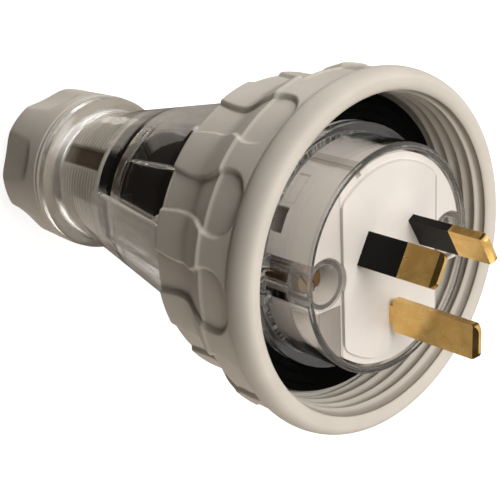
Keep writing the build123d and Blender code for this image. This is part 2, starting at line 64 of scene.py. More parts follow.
# Locking ring, in millimetres: heights are above its rear edge
RING_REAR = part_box("locking_ring")[0].z / MM
REAR_ROW_RADIUS = 30.0
RAMP_RISE = 3.3  # from the rear row of grips to the front row
FRONT_ROW_RISE = 0.15  # along the front row, towards the rim
FLANK_START = 0.6
RAMP_START = 7.0
RAMP_END = 15.5
FLANK_END = 23.5
REAR_POINTS = 13
FRONT_POINTS = 64
BEAD_HEIGHT = 15.3
BEAD_WIDTH = 0.5
CREASE_HEIGHT = 23.4
CREASE_WIDTH = 0.4

# Control points (radius, height) and point counts of the cubics at the ring's mouth
STEP_POINTS = 5
RING_MOUTH = (
    (((33.35, 23.6), (34.8, 23.9), (34.55, 28.7), (32.5, 29.0)), 22),  # rim
    (((32.4, 29.0), (31.4, 29.0), (30.6, 28.75), (30.25, 28.2)), 10),  # nose
    (((30.3, 28.05), (30.5, 27.9), (30.5, 27.7), (30.45, 27.5)), STEP_POINTS),  # step behind the nose
)

# Socket thread inside the ring
ROOT_RADIUS = 30.1
ROOT_FLARE = 0.3  # at the thread's outer end
FLARE_LENGTH = 1.0
THREAD_TOP = 27.4
THREAD_FOOT = 17.0
THREAD_POINTS = 60
TOP_RUN_OUT = 1.2
FOOT_RUN_OUT = 1.0
CREST_HEIGHT = 25.8  # of the crest at CREST_ANGLE
CREST_ANGLE = np.radians(10.0)
CREST_DROP = 0.16  # share of the pitch

# Corners (radius, height, fillet) from the thread's foot to the flank
BORE_RADIUS = 29.2
SHOULDER_RADIUS = 25.9
SKIRT_RADIUS = 26.85
SHOULDER_FRONT = 10.3
SHOULDER_REAR = 6.7
RING_INSIDE = (
    (ROOT_RADIUS, 16.9, 0.0),
    (BORE_RADIUS, 16.3, 0.2),
    (BORE_RADIUS, SHOULDER_FRONT, 0.3),
    (SHOULDER_RADIUS, SHOULDER_FRONT, 0.25),
    (SHOULDER_RADIUS, SHOULDER_REAR, 0.25),
    (SKIRT_RADIUS, SHOULDER_REAR, 0.2),
    (SKIRT_RADIUS, 0.0, 0.5),
    (REAR_ROW_RADIUS, 0.0, 0.5),
    (REAR_ROW_RADIUS, FLANK_START, 0.0),
)

# Outline of a finger recess: half widths across the flank at heights along it
MOUTH_HALF = 4.0
WAIST_HALF = 3.2
NECK_HALF = 3.95
BULB_HALF = 5.8
MOUTH_HEIGHT = -1.5
WAIST_HEIGHT = 5.8
FLARE_HEIGHT = 11.5
NECK_HEIGHT = 14.5
BULB_HEIGHT = 17.6
GRIP_END = 22.9
GRIP_CORNER = 4.5
EDGE_ROWS = 6  # of the rear edge, over which a recess runs out

# Spokes across half a grip: sparse to WALL_START, dense to WALL_END and sparse again to HALF_PITCH
WALL_START = 2.6
WALL_END = 6.5
HALF_PITCH = 8.65
SPARSE_SPOKES = 4
DENSE_SPOKES = 14

# Painted shade, a darker colour in the roots of the ring's thread, behind its nose and at the feet of its
# recesses' walls
ROOT_SHADE = 0.55
UNSHADED_RISE = 0.35  # share of the thread's depth
WALL_SHADE = 0.33
WALL_SHADE_WIDTH = 0.22
WALL_FOOT = -0.8  # share of a wall's half width

# Gland nut, in millimetres: heights are above its rear face
CORD_HOLE_RADIUS = 6.5
NUT_REAR_RADIUS = 16.9
LIP_RADIUS = 17.4
LIP_FRONT = 16.7
GROOVE_RADIUS = 17.05  # behind the lip
SPIGOT_RADIUS = 12.8
SPIGOT_BORE = 10.3
SPIGOT_START = 17.2
SPIGOT_END = 35.3
SPIGOT_FRONT = 35.7
SPIGOT_POINTS = 124
SPIGOT_RUN_OUT = 1.0  # of its thread, at both ends
NUT_SPOKES = 300
NUT_FLOOR = 6.0
NUT_SEAM = 3.0  # height in the cord hole at which the section is closed
NUT_GRIP = (
    (CORD_HOLE_RADIUS, NUT_SEAM, 0.0),
    (CORD_HOLE_RADIUS, 1.2, 0.3),
    (7.7, 0.0, 0.3),
    (NUT_REAR_RADIUS, 0.0, 2.4),
    (17.36, 15.1, 0.2),
    (GROOVE_RADIUS, 15.4, 0.12),
    (GROOVE_RADIUS, 15.7, 0.12),
    (LIP_RADIUS, 15.95, 0.2),
    (LIP_RADIUS, LIP_FRONT, 0.3),
    (SPIGOT_RADIUS, LIP_FRONT, 0.2),
    (SPIGOT_RADIUS, SPIGOT_START, 0.0),
)
NUT_INSIDE = (
    (SPIGOT_RADIUS, 35.35, 0.0),
    (12.5, SPIGOT_FRONT, 0.0),
    (SPIGOT_BORE, SPIGOT_FRONT, 0.2),
    (SPIGOT_BORE, NUT_FLOOR, 0.4),
    (CORD_HOLE_RADIUS, NUT_FLOOR, 0.3),
    (CORD_HOLE_RADIUS, NUT_SEAM, 0.0),
)

# Finger dishes of the nut: parts of a leaning cylinder that runs out towards the lip
DISH_RADIUS = 22.0
DISH_END_DEPTH = 0.5
DISH_LENGTH = 12.5
DISH_RUN_OUT = 2.2
RUN_OUT_START = 9.8
RUN_OUT_END = 14.8
DISH_BLEND = 0.16
DISH_LEAST_RADIUS = 14.0  # of what a dish can reach
DISH_GREATEST_HEIGHT = 15.0

# Slots across the spigot's thread
SLOT_COUNT = 4
SLOT_START = np.radians(55.0)
SLOT_FLOOR = np.radians(8.0)
SLOT_WALL = np.radians(10.0)
SLOT_REAR = (17.6, 18.2)
SLOT_FRONT = (35.4, 35.3)

# Painted shade on the nut: between lip and thread, at the front of the dishes and in the thread's roots, and
# full in its slots
SEAM_SHADE = 0.6
SEAM_REAR = (16.6, 16.7)
SEAM_FRONT = (17.5, 17.3)
DISH_SHADE = 0.55
DISH_SHADE_DEPTHS = (0.1, 0.6)
DISH_SHADE_HEIGHTS = (8.5, 12.0)
SPIGOT_SHADE = 0.35

# Sealing gasket, in millimetres: heights are in the plug's frame
GASKET_SEAT = 89.0
GASKET_TOP = 91.7
GASKET_RADIUS = 28.6
GASKET_SPOKES = 240
GASKET_SEAM = 25.0  # radius on the seat at which the section is closed
GROOVE_FLOOR = 91.45
FOOT_LIP_TOP = 89.95
FOOT_LIP_RADIUS = 21.5
FOOT_LIP_SEAT = 89.03  # clear of the carrier
GASKET_SECTION = (
    (GASKET_SEAM, GASKET_SEAT, 0.0),
    (GASKET_RADIUS, GASKET_SEAT, 0.2),
    (GASKET_RADIUS, GASKET_TOP, 0.5),
    (27.5, GASKET_TOP, 0.1),
    (27.2, GROOVE_FLOOR, 0.1),
    (26.9, GASKET_TOP, 0.1),
    (25.6, GASKET_TOP, 0.1),
    (25.3, GROOVE_FLOOR, 0.1),
    (25.0, GASKET_TOP, 0.1),
    (23.65, GASKET_TOP, 0.5),
    (23.6, FOOT_LIP_TOP, 0.1),
    (FOOT_LIP_RADIUS, FOOT_LIP_TOP, 0.2),
    (FOOT_LIP_RADIUS, FOOT_LIP_SEAT, 0.1),
    (22.1, FOOT_LIP_SEAT, 0.05),
    (22.2, GASKET_SEAT, 0.05),
    (GASKET_SEAM, GASKET_SEAT, 0.0),
)

# What a colour is multiplied by where painted shade, or a darker mark on the carrier, is full
SHADE_AND_MARK_TINT = (0.2, 0.16, 0.115)

# The camera's axes in the plug's frame
RIGHT = Vector((0.73367, -0.04405, 0.67808))
UP = Vector((0.26400, 0.93798, -0.22471))
NEAR = Vector((-0.62612, 0.34388, 0.69980))

# Lamps, in metres
LAMP_AIM = Vector((0.0, 0.0, 0.075))
LAMP_DISTANCE = 0.75
WHITE_LIGHT = (1.0, 0.99, 0.97)
WARM_LIGHT = (1.0, 0.94, 0.86)

# Floor, in metres, apart from the zone in millimetres that counts as far off
FLOOR_SPOKES = 64
FLOOR_HUB = 0.02
FLOOR_RADIUS = 8.0
FLOOR_FAR = ("radius", 700.0, 9000.0, 500.0)
FLOOR_GLOW = (0.8, 1.0)  # near the plug and far off

# Surroundings: the backdrop's limits are cosines of the angle from its direction
BACKDROP_WAY = (0.626, -0.344, -0.70)
BACKDROP_LIMITS = (0.85, 1.1, 0.25)
BACKDROP_SHARE = 0.56  # of white, through clear plastic
GLOSS_SHARE = 0.7  # of the ambient light, in reflections


class RingSettings(bpy.types.PropertyGroup):
    """Sizes of the locking ring's grips and thread."""

    grip_count: IntProperty(name="Grips", description="Finger recesses round the ring", default=12)
    grip_start: FloatProperty(
        name="First Grip", description="Angle of the first recess", default=np.radians(2.0), subtype="ANGLE"
    )
    grip_depth: FloatProperty(
        name="Grip Depth", description="Depth of a recess", default=0.85 * MM, unit="LENGTH", precision=5
    )
    grip_edge: FloatProperty(
        name="Grip Edge",
        description="Half the width of a recess's soft wall",
        default=0.34 * MM,
        unit="LENGTH",
        precision=5,
    )
    crest_height: FloatProperty(
        name="Crest",
        description="Height of the bead between the two rows",
        default=0.28 * MM,
        unit="LENGTH",
        precision=5,
    )
    thread_pitch: FloatProperty(
        name="Thread Pitch",
        description="Rise of the socket thread in a turn",
        default=2.65 * MM,
        unit="LENGTH",
        precision=5,
    )
    thread_depth: FloatProperty(
        name="Thread Depth",
        description="Crest to root of the socket thread",
        default=0.9 * MM,
        unit="LENGTH",
        precision=5,
    )


class NutSettings(bpy.types.PropertyGroup):
    """Sizes of the gland nut's dishes, thread and slots."""

    dish_count: IntProperty(name="Dishes", description="Finger dishes round the nut", default=6)
    dish_start: FloatProperty(
        name="First Dish", description="Angle of the first dish", default=np.radians(42.5), subtype="ANGLE"
    )
    dish_depth: FloatProperty(
        name="Dish Depth",
        description="Depth of a dish at the rear face",
        default=1.6 * MM,
        unit="LENGTH",
        precision=5,
    )
    thread_pitch: FloatProperty(
        name="Thread Pitch",
        description="Rise of the gland thread in a turn",
        default=1.2 * MM,
        unit="LENGTH",
        precision=5,
    )
    thread_depth: FloatProperty(
        name="Thread Depth",
        description="Crest to root of the gland thread",
        default=0.55 * MM,
        unit="LENGTH",
        precision=5,
    )
    slot_depth: FloatProperty(
        name="Slot Depth",
        description="Depth of the slots across the thread",
        default=1.9 * MM,
        unit="LENGTH",
        precision=5,
    )


class FinishSettings(bpy.types.PropertyGroup):
    """Colours of the plug's materials."""

    grey: FloatVectorProperty(
        name="Grey Moulding",
        description="Ring and gland nut",
        default=(0.69, 0.635, 0.565),
        subtype="COLOR",
        size=3,
    )
    white: FloatVectorProperty(
        name="White Moulding",
        description="Pin carrier",
        default=(0.82, 0.765, 0.715),
        subtype="COLOR",
        size=3,
    )
    clear: FloatVectorProperty(
        name="Clear Moulding",
        description="Housing and cover",
        default=(0.98, 0.975, 0.965),
        subtype="COLOR",
        size=3,
    )
    brass: FloatVectorProperty(
        name="Brass", description="Pins and terminals", default=(0.84, 0.57, 0.21), subtype="COLOR", size=3
    )
    copper: FloatVectorProperty(
        name="Screw Brass", description="Assembly screws", default=(0.42, 0.27, 0.15), subtype="COLOR", size=3
    )
    steel: FloatVectorProperty(
        name="Plated Steel",
        description="Terminal and shroud screws",
        default=(0.62, 0.6, 0.56),
        subtype="COLOR",
        size=3,
    )
    black: FloatVectorProperty(
        name="Black Moulding",
        description="Sleeves and shroud",
        default=(0.006, 0.0055, 0.005),
        subtype="COLOR",
        size=3,
    )
    rubber: FloatVectorProperty(
        name="Rubber",
        description="Gasket and gland seal",
        default=(0.002, 0.002, 0.002),
        subtype="COLOR",
        size=3,
    )
    nylon: FloatVectorProperty(
        name="Nylon", description="Slip washer", default=(0.78, 0.75, 0.68), subtype="COLOR", size=3
    )


class StageSettings(bpy.types.PropertyGroup):
    """Camera, lamps, floor and surroundings."""

    lens: FloatProperty(name="Lens", description="Focal length in millimetres", default=90.9)
    camera_place: FloatVectorProperty(
        name="Camera",
        description="Place of the camera",
        default=(-0.160226, 0.080768, 0.245073),
        subtype="XYZ",
        size=3,
    )
    key_power: FloatProperty(
        name="Key", description="Power of the lamp before the pins", default=4.05, unit="POWER"
    )
    side_power: FloatProperty(
        name="Side", description="Power of the lamp at the right", default=2.3, unit="POWER"
    )
    top_power: FloatProperty(
        name="Top", description="Power of the lamp above and behind", default=1.7, unit="POWER"
    )
    overhead_power: FloatProperty(
        name="Overhead", description="Power of the lamp above", default=1.75, unit="POWER"
    )
    table_power: FloatProperty(
        name="Table", description="Power of the light from the table", default=3.0, unit="POWER"
    )
    rear_power: FloatProperty(
        name="Rear", description="Power of the broad light below and behind", default=1.15, unit="POWER"
    )
    floor_drop: FloatProperty(
        name="Floor Drop",
        description="Room below the nut for its travel",
        default=5.2 * MM,
        unit="LENGTH",
        precision=5,
    )
    ambient: FloatProperty(
        name="Ambient", description="Brightness of the surroundings", default=0.05, min=0.0
    )


class PlugSettings(bpy.types.PropertyGroup):
    """All settings of the plug top."""

    ring: PointerProperty(type=RingSettings)
    nut: PointerProperty(type=NutSettings)
    finish: PointerProperty(type=FinishSettings)
    stage: PointerProperty(type=StageSettings)


def smooth_step(low, high, values):
    """Cubic ease from 0 at low to 1 at high, also where low is the greater."""
    share = np.clip((values - low) / (high - low), 0.0, 1.0)
    return share * share * (3.0 - 2.0 * share)


def swell(place, width, values):
    """A Gaussian of height 1 about a place, which falls to 1/e at its width."""
    return np.exp(-(((values - place) / width) ** 2))


def soft_least(first, second, blend):
    """The lesser of two lengths, rounded over about blend where they cross: -b log(exp(-f/b) + exp(-s/b))."""
    return -blend * np.logaddexp(-first / blend, -second / blend)


def folded(turn, start, count):
    """The angle from the nearest of count equal marks round the axis, the first of which is at start."""
    pitch = 2.0 * np.pi / count
    return (turn - start + pitch / 2) % pitch - pitch / 2


def thread_wave(height, angle, pitch, flat=2.0):
    """A right-hand thread from 0 at its roots to 1 at its crests.

    It is a cosine of height less turn, squared off by tanh.
    """
    phase = 2.0 * np.pi * height / pitch - angle
    return 0.5 + 0.5 * np.tanh(flat * np.cos(phase)) / np.tanh(flat)


def scallop_wave(height, angle, pitch, drop):
    """A right-hand thread of hollow scallops.

    From 0 behind a crest it rises as the square of the way to the next. The drop behind a crest is eased over
    a share of the pitch, so that it spans a few points.
    """
    way = (angle / (2.0 * np.pi) - height / pitch) % 1.0
    return way**2 * smooth_step(1.0, 1.0 - drop, way)


def curve(points, count):
    """A Bezier cubic through its first and last point, drawn out by the two between."""
    share = np.linspace(0.0, 1.0, count)[:, None]
    weights = ((1 - share) ** 3, 3 * share * (1 - share) ** 2, 3 * share**2 * (1 - share), share**3)
    return sum(weight * np.array(point) for weight, point in zip(weights, points))


def bent(corners, run, arc=6):
    """A path through corners (radius, height, fillet), up to the last corner and without it.

    Each fillet is a tangent arc of a few points, found by turning from its start to its end about its
    middle, and what is longer than run is divided evenly.
    """
    corners = np.array(corners)
    points = corners[:, :2]
    pieces = [points[:1]]
    for before, here, after, fillet in zip(points, points[1:], points[2:], corners[1:, 2]):
        back = (before - here) / np.linalg.norm(before - here)
        ahead = (after - here) / np.linalg.norm(after - here)
        half = 0.5 * np.arccos(np.clip(back @ ahead, -1.0, 1.0))
        if fillet == 0.0:
            pieces.append(here[None])
            continue
        middle = here + (back + ahead) / np.linalg.norm(back + ahead) * fillet / np.sin(half)
        start = here + back * fillet / np.tan(half) - middle
        end = here + ahead * fillet / np.tan(half) - middle
        sweep = np.pi - 2.0 * half
        share = np.linspace(0.0, 1.0, arc)[:, None]
        turning = np.sin((1.0 - share) * sweep) * start + np.sin(share * sweep) * end
        pieces.append(middle + turning / np.sin(sweep))
    pieces.append(points[-1:])
    path = np.concatenate(pieces)
    leaps = np.diff(path, axis=0)
    steps = np.maximum(1, np.ceil(np.linalg.norm(leaps, axis=1) / run)).astype(int)
    number = np.arange(steps.sum()) - np.repeat(np.cumsum(steps) - steps, steps)
    share = (number / np.repeat(steps, steps))[:, None]
    return np.repeat(path[:-1], steps, axis=0) + np.repeat(leaps, steps, axis=0) * share


def grid_faces(rows, columns):
    """Corner numbers of the quads of a grid that is joined end to end both ways."""
    row, column = np.meshgrid(np.arange(rows), np.arange(columns), indexing="ij")
    next_row = (row + 1) % rows
    next_column = (column + 1) % columns
    corners = ((row, column), (next_row, column), (next_row, next_column), (row, next_column))
    return np.stack([first * columns + second for first, second in corners], axis=-1).reshape(-1, 4)


def put_mesh(name, points, faces, material):
    """A smooth-shaded mesh object from arrays of points and quads."""
    mesh = bpy.data.meshes.new(name)
    mesh.vertices.add(len(points))
    mesh.vertices.foreach_set("co", points.astype(np.float32).ravel())
    mesh.loops.add(faces.size)
    mesh.loops.foreach_set("vertex_index", faces.astype(np.int32).ravel())
    mesh.polygons.add(len(faces))
    mesh.polygons.foreach_set("loop_start", np.arange(0, faces.size, 4, dtype=np.int32))
    mesh.polygons.foreach_set("use_smooth", np.ones(len(faces), dtype=bool))
    mesh.update(calc_edges=True)
    if mesh.validate():
        raise RuntimeError(f"{name} has faces that had to be mended")
    mesh.materials.append(material)
    piece = bpy.data.objects.new(name, mesh)
    bpy.context.scene.collection.objects.link(piece)
    return piece


def turned(name, angles, radius, height, material):
    """A closed surface round +Z: point (a, s) lies at angle a, at radius(a, s) and height(a, s) in mm."""
    turn = np.broadcast_to(angles[:, None], radius.shape)
    points = MM * np.stack([radius * np.cos(turn), radius * np.sin(turn), height], axis=-1)
    return put_mesh(name, points.reshape(-1, 3), grid_faces(*radius.shape), bpy.data.materials[material])


def add_attribute(piece, name, values):
    """Keeps one number a vertex for the piece's material."""
    attribute = piece.data.attributes.new(name, "FLOAT", "POINT")
    attribute.data.foreach_set("value", values.astype(np.float32).ravel())


def stand_for(piece, node, body):
    """Puts a made piece in the place of a solid."""
    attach(piece, body)
    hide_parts(node)


def dress(finish, *nodes):
    """Gives solids that keep their shape a finished material."""
    for node in nodes:
        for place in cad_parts[node].material_slots:
            place.material = finish


def link(tree, start, end):
    """Joins two sockets."""
    tree.links.new(start, end)


def new_finish(name):
    """A material with its node tree and Principled shader."""
    material = bpy.data.materials.new(name)
    material.use_nodes = True
    return material, material.node_tree, material.node_tree.nodes["Principled BSDF"]


def noise(tree, scale, detail=3.0, stretch=(1.0, 1.0, 1.0)):
    """Noise from 0 to 1 on Object coordinates, stretched by a Mapping node."""
    place = tree.nodes.new("ShaderNodeTexCoord")
    mapping = tree.nodes.new("ShaderNodeMapping")
    mapping.inputs["Scale"].default_value = stretch
    texture = tree.nodes.new("ShaderNodeTexNoise")
    texture.inputs["Scale"].default_value = scale
    texture.inputs["Detail"].default_value = detail
    link(tree, place.outputs["Object"], mapping.inputs["Vector"])
    link(tree, mapping.outputs["Vector"], texture.inputs["Vector"])
    return texture.outputs["Fac"]


def ramp(tree, value, low, low_colour, high, high_colour):
    """A colour that goes from one at a low value to another at a high value."""
    node = tree.nodes.new("ShaderNodeValToRGB")
    stops = ((low, low_colour), (high, high_colour))
    for element, (place, colour) in zip(node.color_ramp.elements, stops):
        element.position = place
        element.color = (*colour, 1.0)
    link(tree, value, node.inputs["Fac"])
    return node.outputs["Color"]


def spread(tree, value, low, high):
    """Maps 0 to 1 on to low to high."""
    node = tree.nodes.new("ShaderNodeMapRange")
    node.inputs["To Min"].default_value = low
    node.inputs["To Max"].default_value = high
    link(tree, value, node.inputs["Value"])
    return node.outputs["Result"]


def bump(tree, shader, height, distance, strength=1.0):
    """Lets a height pattern tilt the shader's normals, after any pattern that is there already."""
    node = tree.nodes.new("ShaderNodeBump")
    node.inputs["Distance"].default_value = distance
    node.inputs["Strength"].default_value = strength
    link(tree, height, node.inputs["Height"])
    if shader.inputs["Normal"].is_linked:
        link(tree, shader.inputs["Normal"].links[0].from_socket, node.inputs["Normal"])
    link(tree, node.outputs["Normal"], shader.inputs["Normal"])


def shade(colour, factor):
    """A colour made darker or lighter."""
    return tuple(channel * factor for channel in colour)


def own_value(tree, attribute):
    """The number that the piece keeps at each vertex under this name."""
    reader = tree.nodes.new("ShaderNodeAttribute")
    reader.attribute_name = attribute
    return reader.outputs["Fac"]


def shaded_and_marked(tree, colour, value):
    """A colour multiplied towards the tint of painted shade and marks where value is 1."""
    mix = tree.nodes.new("ShaderNodeMix")
    mix.data_type = "RGBA"
    mix.blend_type = "MULTIPLY"
    mix.inputs["B"].default_value = (*SHADE_AND_MARK_TINT, 1.0)
    link(tree, value, mix.inputs["Factor"])
    link(tree, colour, mix.inputs["A"])
    return mix.outputs["Result"]


def mixed(tree, share, first, second):
    """The first shader with a share of the second, where the share is a socket."""
    mix = tree.nodes.new("ShaderNodeMixShader")
    link(tree, share, mix.inputs["Fac"])
    link(tree, first, mix.inputs[1])
    link(tree, second, mix.inputs[2])
    return mix.outputs["Shader"]


def combine(tree, operation, first, second):
    """One Math node on two values, each a socket or a number."""
    node = tree.nodes.new("ShaderNodeMath")
    node.operation = operation
    for place, value in enumerate((first, second)):
        if isinstance(value, float):
            node.inputs[place].default_value = value
        else:
            link(tree, value, node.inputs[place])
    return node.outputs["Value"]


def within(tree, value, low, high, edge):
    """1 where a value lies between low and high, easing to 0 over edge beyond them."""
    sides = []
    for start, end in ((low - edge, low), (high + edge, high)):
        node = tree.nodes.new("ShaderNodeMapRange")
        node.interpolation_type = "SMOOTHSTEP"
        node.inputs["From Min"].default_value = start
        node.inputs["From Max"].default_value = end
        link(tree, value, node.inputs["Value"])
        sides.append(node.outputs["Result"])
    return combine(tree, "MULTIPLY", *sides)


def measure(tree, split, axis):
    """A piece's own coordinate: X, Y or Z, the radius from its Z axis or the turn round it."""
    if axis == "radius":
        squares = [combine(tree, "MULTIPLY", split.outputs[side], split.outputs[side]) for side in "XY"]
        return combine(tree, "SQRT", combine(tree, "ADD", *squares), 0.0)
    if axis == "turn":
        return combine(tree, "ARCTAN2", split.outputs["Y"], split.outputs["X"])
    return split.outputs[axis]


def zones(tree, parts, least):
    """The greatest of least and each part's weight, where a part is (weight, limits).

    Limits are (axis, low, high, edge), in degrees for a turn and in millimetres otherwise. A part has its
    weight where all its limits hold.
    """
    place = tree.nodes.new("ShaderNodeTexCoord")
    split = tree.nodes.new("ShaderNodeSeparateXYZ")
    link(tree, place.outputs["Object"], split.inputs["Vector"])
    total = least
    for weight, limits in parts:
        part = weight
        for axis, *sizes in limits:
            unit = np.radians(1.0) if axis == "turn" else MM
            side = within(tree, measure(tree, split, axis), *[size * unit for size in sizes])
            part = combine(tree, "MULTIPLY", side, part)
        total = combine(tree, "MAXIMUM", part, total)
    return total


def moulded(name, colour, roughness, grain=1.0, attribute=None, gloss=0.5, shade_and_mark_zones=None):
    """Moulded plastic or rubber: faint cloudy colour, fine grain and uneven gloss.

    An attribute of the piece, or zones, say where its colour is darkened: painted shade, and on the carrier
    two darker marks too.
    """
    material, tree, shader = new_finish(name)
    shader.inputs["Specular IOR Level"].default_value = gloss
    cloud = noise(tree, scale=90.0, detail=4.0)
    tint = ramp(tree, cloud, 0.3, shade(colour, 0.94), 0.7, shade(colour, 1.04))
    if attribute:
        tint = shaded_and_marked(tree, tint, own_value(tree, attribute))
    if shade_and_mark_zones:
        tint = shaded_and_marked(tree, tint, zones(tree, shade_and_mark_zones, least=0.0))
    link(tree, tint, shader.inputs["Base Color"])
    gloss_cloud = noise(tree, scale=700.0, detail=2.0)
    link(tree, spread(tree, gloss_cloud, roughness - 0.05, roughness + 0.07), shader.inputs["Roughness"])
    bump(tree, shader, noise(tree, scale=5200.0, detail=2.0), distance=0.02 * MM, strength=0.35 * grain)
    bump(tree, shader, noise(tree, scale=260.0, detail=2.0), distance=0.05 * MM, strength=0.25 * grain)
    return material


def frost(tree):
    """Matt streaky plastic that scatters half the light forwards and half of it back."""
    streak = noise(tree, scale=900.0, stretch=(1.0, 1.0, 0.08))
    tint = ramp(tree, streak, 0.3, (0.72, 0.68, 0.63), 0.7, (0.86, 0.82, 0.77))
    halves = tree.nodes.new("ShaderNodeMixShader")
    halves.inputs["Fac"].default_value = 0.5
    for place, kind in ((1, "ShaderNodeBsdfTranslucent"), (2, "ShaderNodeBsdfDiffuse")):
        layer = tree.nodes.new(kind)
        link(tree, tint, layer.inputs["Color"])
        link(tree, layer.outputs["BSDF"], halves.inputs[place])
    return halves.outputs["Shader"]


def black_layer(tree):
    """A black matt layer painted on a face of clear plastic."""
    layer = tree.nodes.new("ShaderNodeBsdfDiffuse")
    tint = ramp(tree, noise(tree, scale=800.0), 0.3, (0.003, 0.003, 0.003), 0.7, (0.007, 0.007, 0.007))
    link(tree, tint, layer.inputs["Color"])
    return layer.outputs["BSDF"]


def clear_moulding(name, colour, frosted, satin, ridges, blackened=None, passed=0.96):
    """Clear plastic: bends light, is slightly wavy, scatters light where it is matt, and lets lamps through.

    Frosted and satin parts are zones in the piece's own coordinates, ridges are fine raised lines, and a
    blackened end is painted black matt. Passed is the share of a lamp's light that goes through.
    """
    material, tree, shader = new_finish(name)
    shader.inputs["Base Color"].default_value = (*colour, 1.0)
    shader.inputs["Transmission Weight"].default_value = 1.0
    shader.inputs["IOR"].default_value = 1.5
    polish = spread(tree, noise(tree, scale=160.0), 0.01, 0.03)
    link(tree, zones(tree, satin, least=polish), shader.inputs["Roughness"])
    bump(tree, shader, noise(tree, scale=130.0, detail=2.0), distance=0.12 * MM, strength=0.4)
    bump(tree, shader, zones(tree, ridges, least=0.0), distance=0.4 * MM)
    haze = spread(tree, noise(tree, scale=220.0, detail=4.0), 0.001, 0.006)
    surface = mixed(tree, zones(tree, frosted, least=haze), shader.outputs["BSDF"], frost(tree))
    # Where blackened, the clear plastic is painted black matt
    if blackened:
        surface = mixed(tree, zones(tree, blackened, least=0.0), surface, black_layer(tree))
    passing = tree.nodes.new("ShaderNodeBsdfTransparent")
    passing.inputs["Color"].default_value = (*shade(colour, passed), 1.0)
    path = tree.nodes.new("ShaderNodeLightPath")
    surface = mixed(tree, path.outputs["Is Shadow Ray"], surface, passing.outputs["BSDF"])
    link(tree, surface, tree.nodes["Material Output"].inputs["Surface"])
    return material


def metal(name, colour, roughness, stretch, mottle=0.75):
    """Worked metal: mottled tarnish, which is browner, drawn lines along one direction and uneven gloss."""
    material, tree, shader = new_finish(name)
    shader.inputs["Metallic"].default_value = 1.0
    tarnished = (colour[0] * mottle, colour[1] * mottle * 0.93, colour[2] * mottle * 0.85)
    stain = noise(tree, scale=420.0, detail=5.0)
    link(tree, ramp(tree, stain, 0.36, tarnished, 0.62, colour), shader.inputs["Base Color"])
    gloss_cloud = noise(tree, scale=600.0, detail=4.0)
    link(tree, spread(tree, gloss_cloud, roughness - 0.08, roughness + 0.12), shader.inputs["Roughness"])
    bump(tree, shader, noise(tree, scale=2600.0, stretch=stretch), distance=0.03 * MM, strength=0.35)
    bump(tree, shader, noise(tree, scale=380.0, detail=2.0), distance=0.06 * MM, strength=0.3)
    return material


def housing_finish(colour):
    """Clear housing: satin collar, milky pillars with frosty edges, hazy neck and cone, two raised lines."""
    collar = [("Z", 16.0, 23.0, 2.0)]
    pillar = [("Y", -4.4, 4.4, 0.2), ("Z", 41.0, 80.0, 1.0)]
    reaches = ((-30.0, -16.0), (16.0, 30.0))
    pillars = [(0.5, [*pillar, ("X", *reach, 0.5)]) for reach in reaches]
    pillar_edge = [("Z", 43.0, 80.0, 1.0), ("X", -30.0, -17.5, 0.5)]
    edges = ((4.15, 4.45), (-4.45, -4.15))
    pillar_edges = [(0.9, [("Y", *edge, 0.15), *pillar_edge]) for edge in edges]
    neck_arcs = ((50.0, 132.0), (170.0, 190.0), (-190.0, -110.0))
    neck_haze = [(0.4, [("Z", 36.5, 43.5, 1.0), ("turn", *arc, 8.0)]) for arc in neck_arcs]
    cone_arcs = ((0.55, (64.0, 112.0)), (0.4, (-156.0, -100.0)))
    cone_haze = [(weight, [("turn", *arc, 9.0), ("Z", 45.0, 76.0, 2.0)]) for weight, arc in cone_arcs]
    frosted = [(0.03, collar), *cone_haze, *neck_haze, *pillars, *pillar_edges]
    shoulder_line = (1.0, [("Z", 48.3, 48.9, 0.5)])
    parting_line = (0.4, [("turn", 141.7, 142.3, 0.8), ("Z", 50.0, 76.0, 1.0)])
    ridges = [shoulder_line, parting_line]
    return clear_moulding("clear_housing", colour, frosted, [(0.19, collar)], ridges, passed=0.86)


def cover_finish(colour):
    """Clear cover: frosted rim with a raised line, milky wells, satin foot and an end painted black matt."""
    rim = ("Z", 103.6, 105.0, 0.1)
    rim_line = (1.0, [rim, ("radius", 20.65, 20.75, 0.7)])
    well = [("Y", -4.4, 4.4, 0.2), ("Z", 99.0, 104.0, 1.0)]
    reaches = ((-21.3, -12.0), (12.0, 21.3))
    wells = [(0.15, [*well, ("X", *reach, 0.3)]) for reach in reaches]
    frosted = [(0.12, [rim]), *wells]
    foot = (0.1, [("Z", 89.5, 93.7, 0.2), ("radius", 21.6, 23.6, 0.2)])
    seated_end = (1.0, [("Z", 88.0, 89.04, 0.04)])
    return clear_moulding("clear_cover", colour, frosted, [foot], [rim_line], [seated_end])


